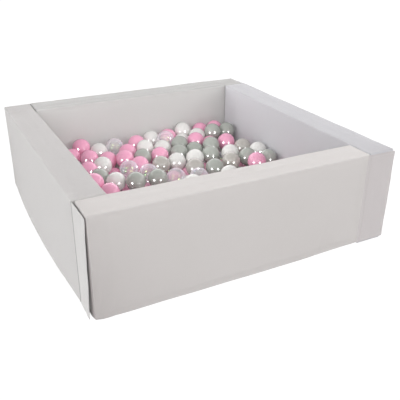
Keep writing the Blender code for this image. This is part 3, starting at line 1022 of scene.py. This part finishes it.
def makeStrip(name, kind, plan, sewnTo, body, fine, facing):
    # A band of tape lies on what it is sewn to, whose depth is a function of place. Its pile is a product of
    # sines, kept clear of the border.
    look = stripLook[kind]
    low, high = limitsOf(name, plan["turn"])
    step = stripLook["fineStep"] if fine else stripLook["plainStep"]
    counts = np.maximum(8, np.round((high - low) / step)).astype(int)
    x, z = np.meshgrid(*[np.linspace(low[axis], high[axis], counts[axis]) for axis in (0, 2)], indexing="ij")
    back = sewnTo(x, z)
    toEdge = np.minimum.reduce([x - low[0], high[0] - x, z - low[2], high[2] - z])
    waves = np.sin(math.pi * x / look["pitch"]) * np.sin(math.pi * z / look["pitch"])
    pile = look["height"] * np.abs(waves) * smoothStep(toEdge, 0.5 * stripLook["border"], stripLook["border"])
    tape = stripLook["tape"] * (0.5 + 0.5 * smoothStep(toEdge, 0, stripLook["edgeRound"]))
    face = back + facing * (tape + pile)
    sides = [np.stack([x, depth, z], axis=-1) for depth in ((face, back) if facing < 0 else (back, face))]
    points, faces = twoSided(*sides)
    mesh = meshFromArrays(name + "_tape", quarterTurn(points, plan["turn"]), faces)
    piece = newPiece(name + "_tape", mesh, stripMaterials[kind])
    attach(piece, body)
    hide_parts(name)


def makeStrips(name, plan, look):
    # The hook tape follows the flap's inner side, and the loop tape lies on the end of the wall behind it.
    limits = limitsOf(name, plan["turn"])
    closes = name == "closing_flap"
    wallLine = flapWallLine(plan, limits, look)
    loopAt = limitsOf(name + "_loop_strip", plan["turn"])[1][1] - (endProud["front_wall"] if closes else 0)

    def flapInside(x, z):
        return flapSurface(x, z, plan, limits, wallLine, look) + look["hem"] + stripLook["gap"]

    def wallEnd(x, z):
        return np.full(x.shape, loopAt)

    makeStrip(name + "_hook_strip", "hook", plan, flapInside, plan["to"], closes, 1)
    makeStrip(name + "_loop_strip", "loop", plan, wallEnd, "front_wall" if closes else plan["to"], closes, -1)


for flapName, flapDetail in flapPlan.items():
    makeFlap(flapName, flapDetail, flapLook)
    makeStrips(flapName, flapDetail, flapLook)
print("flaps made")

# Zips under the walls and the mat

zipLook = {
    "tapeLevel": 0.0031,
    "tapeThickness": 0.0004,
    "tapeSteps": (60, 61),
    "tapeCover": 0.0002,
    "rib": 0.00012,
    "ribPitch": 0.0024,
    "toothPitch": 0.0026,
    "toothLength": 0.0036,
    "toothWidth": 0.0014,
    "toothLow": 0.0013,
    "toothHigh": 0.0030,
    "toothOffset": 0.0009,
    "chamfer": 0.0003,
    "sharpAngle": 30,
    "tape": {"color": (0.43, 0.42, 0.41), "shade": (0.37, 0.36, 0.35)},
    "tooth": {"color": (0.52, 0.51, 0.50), "shade": (0.45, 0.44, 0.43)},
    "metal": {"color": (0.62, 0.62, 0.63), "shade": (0.54, 0.54, 0.56)},
    "roughness": 0.34,
    "metallic": 0.85,
}
zipPlan = dict(wallTurns, mat=0)


def hardMaterial(name, look, roughness, metallic):
    # Brushed by use: fine scratches vary the tone and the gloss.
    material, tree, shader, place = newMaterial(name)
    scratches = noise(tree, place, 900.0, 3.0, Distortion=2.0)
    fillInputs(shader, Base_Color=colorMix(tree, scratches, look["color"], look["shade"]),
               Roughness=scaledSum(tree, scratches, 0.2, roughness - 0.1), Metallic=metallic)
    addBump(tree, shader, scratches, 0.3, 0.00005)
    return material


zipTape = fabricMaterial("zip_tape", dict(fabricLook, **zipLook["tape"], threadPitch=0.0007))
zipTeeth = hardMaterial("zip_teeth", zipLook["tooth"], 0.5, 0.0)
zipMetal = hardMaterial("zip_metal", zipLook["metal"], zipLook["roughness"], zipLook["metallic"])


def zipWebs(low, high, look):
    # Two ribbed webs side by side: the height is a squared sine across the tape.
    middle = (low[1] + high[1]) / 2
    x, y = np.meshgrid(*[np.linspace(low[axis], high[axis], look["tapeSteps"][axis]) for axis in (0, 1)],
                       indexing="ij")
    rib = look["rib"] * np.sin(2 * math.pi * (y - middle) / look["ribPitch"]) ** 2
    under = look["tapeLevel"] - look["tapeThickness"] / 2 - rib
    over = np.full(x.shape, look["tapeLevel"] + look["tapeCover"])
    return twoSided(*[np.stack([x, y, level], axis=-1) for level in (over, under)])


def toothUnit(look):
    # A block whose lower ring is drawn in by the chamfer, so three rings of four corners.
    half = np.array([look["toothWidth"] / 2, look["toothLength"] / 2])
    corners = np.array([(1, -1), (1, 1), (-1, 1), (-1, -1)]) * half
    levels = (look["toothLow"], look["toothLow"] + look["chamfer"], look["toothHigh"])
    shrunk = (1 - look["chamfer"] / half, (1, 1), (1, 1))
    points = np.vstack([np.column_stack([corners * scale, np.full(4, level)])
                        for level, scale in zip(levels, shrunk)])
    faces = np.vstack([gridFaces(3, 4, closeColumns=True)[:, ::-1], [(3, 2, 1, 0), (8, 9, 10, 11)]])
    return points, faces


sliderLook = {
    "bodyLength": 0.014,
    "taper": 0.25,
    "wall": 0.0015,
    "plate": 0.0007,
    "chamfer": 0.00025,
    "stations": 15,
    "ringSteps": 48,
    "sectionSteps": 12,
    "squareness": 0.5,
    "sharpAngle": 40,
    "pullInset": 0.0008,
    "pullSide": 0.0026,
    "pullBand": 0.0008,
}


def sliderMesh(name, low, high, look):
    # The body is a channel of one outline, drawn in along its length. The pull is a ring: one rounded
    # section is carried round a long loop whose corners are filled out by taking roots of the cosine and the
    # sine.
    middle = (low[1] + high[1]) / 2
    half = (high[1] - low[1]) / 2
    wall, plate, chamfer, length = (look[key] for key in ("wall", "plate", "chamfer", "bodyLength"))
    outline = np.array([(chamfer - half, low[2]), (half - chamfer, low[2]), (half, low[2] + chamfer),
                        (half, high[2]), (half - wall, high[2]), (half - wall, low[2] + plate),
                        (wall - half, low[2] + plate), (wall - half, high[2]), (-half, high[2]),
                        (-half, low[2] + chamfer)])
    along = np.linspace(0, 1, look["stations"])[:, None]
    body = np.empty((look["stations"], len(outline), 3))
    body[..., 0] = low[0] + length * along
    body[..., 1] = middle + outline[:, 0] * (1 - look["taper"] * along**2)
    body[..., 2] = outline[:, 1]
    t = np.linspace(0, 2 * math.pi, look["ringSteps"], endpoint=False)[:, None]
    s = np.linspace(0, 2 * math.pi, look["sectionSteps"], endpoint=False)
    waves = (np.cos(t), np.sin(t), np.cos(s), np.sin(s))
    root = [np.sign(wave) * np.abs(wave) ** look["squareness"] for wave in waves]
    start, end = low[0] + length - look["pullInset"], high[0] - look["pullBand"]
    reach, side = (end - start) / 2, look["pullSide"] - look["pullBand"]
    away = np.hypot(np.cos(t) / reach, np.sin(t) / side)
    band = look["pullBand"] * root[2]
    ring = np.empty((look["ringSteps"], look["sectionSteps"], 3))
    ring[..., 0] = (start + end) / 2 + reach * root[0] + np.cos(t) / reach / away * band
    ring[..., 1] = middle + side * root[1] + np.sin(t) / side / away * band
    ring[..., 2] = low[2] + plate / 2 * (1 + root[3])
    count = body.shape[0] * body.shape[1]
    corners = np.arange(len(outline))
    ends = np.array([corners[::-1], count - len(outline) + corners])
    mesh = meshFromArrays(name, np.vstack([body.reshape(-1, 3), ring.reshape(-1, 3)]),
                          gridFaces(*body.shape[:2], closeColumns=True)[:, ::-1], ends,
                          gridFaces(*ring.shape[:2], closeRows=True, closeColumns=True, start=count))
    mesh.set_sharp_from_angle(angle=math.radians(look["sharpAngle"]))
    return mesh


def makeSlider(name, quarters):
    body = name + "_zip_slider"
    low, high = limitsOf(body, quarters)
    mesh = sliderMesh(name + "_slider_metal", low, high, sliderLook)
    setPoints(mesh, quarterTurn(pointsOf(mesh), quarters))
    piece = newPiece(name + "_slider_metal", mesh, zipMetal)
    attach(piece, body)
    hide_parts(body)


def makeZip(name, quarters, look):
    low, high = limitsOf(name + "_zip", quarters)
    middle = (low[1] + high[1]) / 2
    points, faces = zipWebs(low, high, look)
    webs = meshFromArrays(name + "_zip_webs", quarterTurn(points, quarters), faces)
    tape = newPiece(name + "_zip_webs", webs, zipTape)
    unit, unitFaces = toothUnit(look)
    places = np.arange(low[0] + look["toothPitch"], high[0] - look["toothPitch"], look["toothPitch"] / 2)
    side = np.where(np.arange(len(places)) % 2, 1, -1) * look["toothOffset"]
    laid = unit[None] + np.stack([places, middle + side, np.zeros(len(places))], axis=1)[:, None]
    mesh = copiesMesh(name + "_zip_teeth", quarterTurn(laid, quarters), unitFaces)
    mesh.set_sharp_from_angle(angle=math.radians(look["sharpAngle"]))
    teeth = newPiece(name + "_zip_teeth", mesh, zipTeeth)
    for piece in (tape, teeth):
        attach(piece, "base" if name in ("back_wall", "mat") else name)
        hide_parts(name + "_zip")


for zipName, zipQuarters in zipPlan.items():
    makeZip(zipName, zipQuarters, zipLook)
    makeSlider(zipName, zipQuarters)
print("zips made")

# Balls

pit = {
    "outerSide": 1.02,
    "wallThickness": 0.10,
    "fitGap": 0.0003,
    "matTop": 0.05,
}
ballSizes = {
    "diameter": 0.07,
    "lowerGap": 0.007,
    "upperGap": 0.013,
    "startJitter": 0.008,
    "startDropShare": 0.2,
    "heapRise": 0.0035,
    "fallStep": 0.0005,
    "placeStep": 0.00001,
    "slack": 0.0002,
    "facetedShare": 1.046,
    "looseClearance": 0.001,
    "settleSweeps": 560,
    "easeSweeps": 140,
    "pushShare": 0.35,
    "holdShare": 0.08,
    "keepApartShare": 0.95,
    "seed": 3,
    "looseCount": 19,
    "looseTolerance": 0.002,
}
# Seen balls: across and along the inner square, and the finish
seenBalls = [
    (0.195, 0.940, "pink"), (0.255, 0.930, "white"), (0.330, 0.925, "clear"), (0.195, 0.845, "pink"),
    (0.265, 0.810, "pink"), (0.145, 0.910, "pink"), (0.210, 0.745, "white"), (0.150, 0.720, "pink"),
    (0.380, 0.850, "pink"), (0.335, 0.765, "pink"), (0.460, 0.935, "pink"), (0.555, 0.960, "white"),
    (0.475, 0.845, "white"), (0.420, 0.760, "grey"), (0.335, 0.820, "grey"), (0.375, 0.685, "pink"),
    (0.160, 0.630, "grey"), (0.220, 0.555, "white"), (0.150, 0.445, "pink"), (0.285, 0.500, "grey"),
    (0.310, 0.630, "clear"), (0.370, 0.560, "clear"), (0.380, 0.495, "grey"), (0.460, 0.640, "pearl"),
    (0.510, 0.760, "pink"), (0.560, 0.830, "white"), (0.665, 0.960, "pink"), (0.610, 0.900, "clear"),
    (0.730, 0.960, "white"), (0.690, 0.920, "white"), (0.645, 0.820, "grey"), (0.605, 0.740, "grey"),
    (0.555, 0.645, "white"), (0.480, 0.500, "clear"), (0.830, 0.960, "pink"), (0.785, 0.905, "white"),
    (0.740, 0.820, "pink"), (0.695, 0.740, "grey"), (0.640, 0.625, "white"), (0.580, 0.525, "pearl"),
    (0.570, 0.455, "clear"), (0.920, 0.960, "pink"), (0.825, 0.890, "grey"), (0.820, 0.820, "pink"),
    (0.770, 0.730, "grey"), (0.725, 0.635, "grey"), (0.665, 0.495, "grey"), (0.940, 0.890, "grey"),
    (0.955, 0.860, "grey"), (0.865, 0.730, "pink"), (0.820, 0.705, "clear"), (0.815, 0.600, "white"),
    (0.770, 0.520, "pearl"), (0.815, 0.495, "grey"), (0.915, 0.650, "pearl"), (0.865, 0.535, "grey"),
    (0.960, 0.580, "white"), (0.940, 0.485, "grey"), (0.875, 0.465, "pink"),
]


def gridPlaces(pitch, reach):
    # Staggered rows that fill the floor between the walls.
    columns = int(2 * reach / pitch) + 1
    rows = int(2 * reach / (pitch * math.sqrt(3) / 2)) + 1
    places = []
    for row, along in enumerate(np.linspace(-reach, reach, rows)):
        across = np.linspace(-reach, reach, columns)
        if row % 2:
            across = (across[1:] + across[:-1]) / 2
        places += [(x, along) for x in across]
    return np.array(places)


def startPlaces(sizes, reach, inner, lowest):
    # A lower layer on the mat, then the seen balls over it, then more where these leave room.
    generator = np.random.default_rng(sizes["seed"])
    jitter = sizes["startJitter"]
    lower = gridPlaces(sizes["diameter"] + sizes["lowerGap"], reach)
    lower = lower + generator.uniform(-jitter, jitter, lower.shape)
    seen = np.array([row[:2] for row in seenBalls]) * inner - inner / 2
    upper = [tuple(place) for place in seen]
    hidden = gridPlaces(sizes["diameter"] + sizes["upperGap"], reach)
    for place in hidden + generator.uniform(-jitter, jitter, hidden.shape):
        if np.hypot(*(np.array(upper) - place).T).min() > sizes["keepApartShare"] * sizes["diameter"]:
            upper.append(tuple(place))
    flat = np.vstack([lower, upper])
    height = np.full(len(flat), lowest)
    height[len(lower):] += sizes["diameter"] - sizes["diameter"] * sizes["startDropShare"]
    return np.column_stack([flat, height]), len(lower)


def settledPlaces(sizes):
    # Balls sink and push one another apart, then each is seated on those under it, from the lowest up.
    diameter = sizes["diameter"]
    inner = pit["outerSide"] - 2 * pit["wallThickness"]
    faceted = diameter / 2 * sizes["facetedShare"]
    reach = inner / 2 - faceted - pit["fitGap"]
    lowest = pit["matTop"] + pit["fitGap"] + diameter / 2
    places, lowerCount = startPlaces(sizes, reach, inner, lowest)
    seen = slice(lowerCount, lowerCount + len(seenBalls))
    wanted = places[seen, :2].copy()
    spacing = diameter + sizes["slack"]
    same = np.eye(len(places)) * spacing
    for sweep in range(sizes["settleSweeps"] + sizes["easeSweeps"]):
        if sweep < sizes["settleSweeps"]:
            places[:, 2] -= sizes["fallStep"]
            places[seen, :2] += (wanted - places[seen, :2]) * sizes["holdShare"]
        offsets = places[:, None] - places[None]
        distances = np.sqrt((offsets**2).sum(axis=2)) + same
        pushes = np.clip(spacing / distances - 1, 0, None) * sizes["pushShare"]
        places += (offsets * pushes[:, :, None]).sum(axis=1)
        places[:, :2] = np.clip(places[:, :2], -reach, reach)
        places[:, 2] = np.clip(places[:, 2], lowest, lowest + diameter + sizes["heapRise"])
        places = np.round(places / sizes["placeStep"]) * sizes["placeStep"]
    order = np.argsort(places[:, 2], kind="stable")
    for count, ball in enumerate(order):
        under = places[order[:count]]
        apart = ((under[:, :2] - places[ball, :2]) ** 2).sum(axis=1)
        near = apart < diameter**2
        seats = under[near, 2] + np.sqrt(diameter**2 - apart[near])
        places[ball, 2] = max(seats, default=lowest)
    return places, lowerCount


hiddenFinishes = {"seed": 11, "pink": 0.32, "white": 0.22, "grey": 0.26, "pearl": 0.12, "clear": 0.08}
ballShape = {
    "diameter": 0.0699,
    "rimRise": 0.00022,
    "rimWidth": 0.0009,
    "plugRadius": 0.0032,
    "plugRise": 0.00025,
    "rimLines": (-1.6, -0.8, 0.8, 1.6),
    "plugLines": (0.75, 0.95, 1.1),
    "plugStep": (0.8, 1.1),
    "upperSides": 40,
    "lowerSides": 16,
}


def ballSurface(shape, sides, fine):
    # Rings from pole to pole. The radius rises by a narrow bell at the equator, where the halves were
    # joined, and by a low step round the pole, where the blowing hole was closed.
    radius = shape["diameter"] / 2
    rings = np.linspace(0, math.pi, sides // 2 + 1)[1:-1]
    rim = shape["rimWidth"] / radius
    plug = shape["plugRadius"] / radius
    if fine:
        rings = np.sort(np.concatenate([rings, math.pi / 2 + rim * np.array(shape["rimLines"]),
                                        plug * np.array(shape["plugLines"])]))
    around = np.linspace(0, 2 * math.pi, sides, endpoint=False)
    reach = np.full(len(rings), radius)
    if fine:
        reach += shape["rimRise"] * np.exp(-((rings - math.pi / 2) / rim) ** 2)
        stepStart, stepEnd = (plug * share for share in shape["plugStep"])
        reach += shape["plugRise"] * (1 - smoothStep(rings, stepStart, stepEnd))
    grid = np.empty((len(rings), sides, 3))
    grid[..., 0] = (reach * np.sin(rings))[:, None] * np.cos(around)
    grid[..., 1] = (reach * np.sin(rings))[:, None] * np.sin(around)
    grid[..., 2] = (reach * np.cos(rings))[:, None]
    rise = shape["plugRise"] if fine else 0
    points = np.vstack([grid.reshape(-1, 3), [(0, 0, radius + rise), (0, 0, -radius)]])
    return points, gridFaces(len(rings), sides, closeColumns=True), capFans(len(rings), sides)


def randomTurns(generator, count):
    # Unit quaternions drawn evenly, written out as turning matrices.
    q = generator.normal(size=(count, 4))
    q /= np.linalg.norm(q, axis=1, keepdims=True)
    w, x, y, z = q.T
    rows = [1 - 2 * (y * y + z * z), 2 * (x * y - z * w), 2 * (x * z + y * w),
            2 * (x * y + z * w), 1 - 2 * (x * x + z * z), 2 * (y * z - x * w),
            2 * (x * z - y * w), 2 * (y * z + x * w), 1 - 2 * (x * x + y * y)]
    return np.stack(rows, axis=1).reshape(count, 3, 3)


def ballsMesh(name, places, turns, tones, fine):
    # One ball's surface, turned and set at every place at once.
    sides = ballShape["upperSides"] if fine else ballShape["lowerSides"]
    points, quads, caps = ballSurface(ballShape, sides, fine)
    placed = np.einsum("bij,vj->bvi", turns, points) + places[:, None]
    mesh = copiesMesh(name, placed, quads, caps)
    setValues(mesh, "ballTone", np.repeat(tones, len(points)))
    return mesh


def looseOrder(sizes, places, lowerCount):
    # Upper balls that nothing lies over and that no other loose ball touches, the seen ones first.
    found = []
    for ball in range(lowerCount, len(places)):
        apart = np.sqrt(((places[:, :2] - places[ball, :2]) ** 2).sum(axis=1))
        over = (places[:, 2] > places[ball, 2]) & (apart < sizes["diameter"] + sizes["looseClearance"])
        nearest = min((np.linalg.norm(places[ball] - places[other]) for other in found), default=1)
        if not over.any() and nearest > sizes["diameter"] * sizes["facetedShare"] + sizes["looseClearance"]:
            found.append(ball)
    return found[:sizes["looseCount"]]


def makeBalls():
    places, lowerCount = settledPlaces(ballSizes)
    loose = looseOrder(ballSizes, places, lowerCount)
    generator = np.random.default_rng(hiddenFinishes["seed"])
    names = list(ballLooks)
    finishes = generator.choice(names, size=len(places), p=[hiddenFinishes[name] for name in names])
    for ball, row in enumerate(seenBalls, start=lowerCount):
        finishes[ball] = row[2]
    turns = randomTurns(generator, len(places))
    tones = generator.uniform(0, 1, len(places))
    for number, ball in enumerate(loose, start=1):
        low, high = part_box(f"ball_{number:02d}")
        off = (np.array(low) + np.array(high)) / 2 - places[ball]
        if abs(off).max() > ballSizes["looseTolerance"]:
            print("loose ball", number, "is off by", off)
        name = f"loose_ball_{number:02d}"
        mesh = ballsMesh(name, places[[ball]], turns[[ball]], tones[[ball]], True)
        piece = newPiece(name, mesh, ballMaterials[finishes[ball]])
        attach(piece, f"ball_{number:02d}")
        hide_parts(f"ball_{number:02d}")
    isLoose = np.isin(np.arange(len(places)), loose)
    isUpper = np.arange(len(places)) >= lowerCount
    for layer, chosen, fine in (("upper", isUpper & ~isLoose, True), ("lower", ~isUpper, False)):
        for finish in names:
            these = np.flatnonzero(chosen & (finishes == finish))
            name = f"{layer}_balls_{finish}"
            mesh = ballsMesh(name, places[these], turns[these], tones[these], fine)
            piece = newPiece(name, mesh, ballMaterials[finish])
            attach(piece, "base")
            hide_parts("ball_fill")


makeBalls()
print("balls made")

# Studio

studio = {
    "floorSide": 40.0,
    "floorLevel": -0.0002,
    "floorColor": (0.05, 0.05, 0.05),
    "aim": (0, 0, 0.15),
    # Brightness of the surroundings by how far up they lie: -1 is straight down, 0 the horizon, 1 straight
    # up
    "skyLevels": ((-1.0, 0.16), (0.20, 0.18), (0.27, 1.0), (0.45, 1.0), (0.56, 0.34), (0.75, 0.24),
                  (1.0, 0.20)),
    "skyStrength": 3.25,
    "keyPower": 4.6,
    "keySide": 1.6,
    "keyDirection": (-85.0, 14.0),
    "keyDistance": 3.2,
    "catchPower": 360.0,
    "catchSide": 0.25,
    "catchDistance": 3.6,
    "catchDirections": ((-27.8 - 37, 0.0), (-27.8 + 37, 0.0)),
}


def softBox(name, direction, distance, side, power):
    # A square lamp that faces the object's middle from an azimuth and an elevation.
    az, el = (math.radians(angle) for angle in direction)
    back = np.array([math.sin(az) * math.cos(el), -math.cos(az) * math.cos(el), math.sin(el)])
    right = np.array([math.cos(az), math.sin(az), 0.0])
    data = bpy.data.lights.new(name, "AREA")
    data.size = side
    data.energy = power
    lamp = bpy.data.objects.new(name, data)
    turn = Matrix(np.column_stack([right, np.cross(back, right), back]).tolist()).to_4x4()
    lamp.matrix_world = Matrix.Translation(tuple(back * distance + studio["aim"])) @ turn
    scene.collection.objects.link(lamp)
    return lamp


def makeSky(levels, strength):
    # A white dome whose brightness follows a curve of the height that one looks up or down to.
    world = bpy.data.worlds.new("studio")
    world.use_nodes = True
    tree = world.node_tree
    view = addNode(tree, "ShaderNodeTexCoord").outputs["Generated"]
    up = addNode(tree, "ShaderNodeSeparateXYZ", Vector=view).outputs["Z"]
    height = addNode(tree, "ShaderNodeMapRange", Value=up, From_Min=-1.0, From_Max=1.0)
    ramp = addNode(tree, "ShaderNodeValToRGB")
    fillSocket(ramp.inputs[0], height.outputs[0])
    stops = ramp.color_ramp.elements
    for number, (place, level) in enumerate(levels):
        stop = stops[number] if number < 2 else stops.new((place + 1) / 2)
        stop.position = (place + 1) / 2
        stop.color = (level, level, level, 1)
    fillInputs(tree.nodes["Background"], Color=ramp.outputs["Color"], Strength=strength)
    scene.world = world


def makeStudio(settings):
    side = settings["floorSide"]
    line = np.linspace(-side / 2, side / 2, 3)
    grid = np.zeros((3, 3, 3))
    grid[..., 0] = line[:, None]
    grid[..., 1] = line[None, :]
    grid[..., 2] = settings["floorLevel"]
    material, _, shader, _ = newMaterial("studio_floor")
    fillInputs(shader, Base_Color=settings["floorColor"], Roughness=1.0, Specular_IOR_Level=0.0,
               Emission_Color=(1, 1, 1), Emission_Strength=1.0)
    floor = newPiece("studio_floor", meshFromArrays("studio_floor", grid, gridFaces(3, 3)), material)
    floor.visible_diffuse = False
    makeSky(settings["skyLevels"], settings["skyStrength"])
    scene.view_settings.view_transform = "Standard"
    softBox("key", settings["keyDirection"], settings["keyDistance"], settings["keySide"],
            settings["keyPower"])
    for number, direction in enumerate(settings["catchDirections"], start=1):
        lamp = softBox(f"catch_{number}", direction, settings["catchDistance"], settings["catchSide"],
                       settings["catchPower"])
        lamp.data.use_shadow = False
        lamp.data.cycles.use_multiple_importance_sampling = False
        lamp.visible_diffuse = False


makeStudio(studio)
print("studio made")
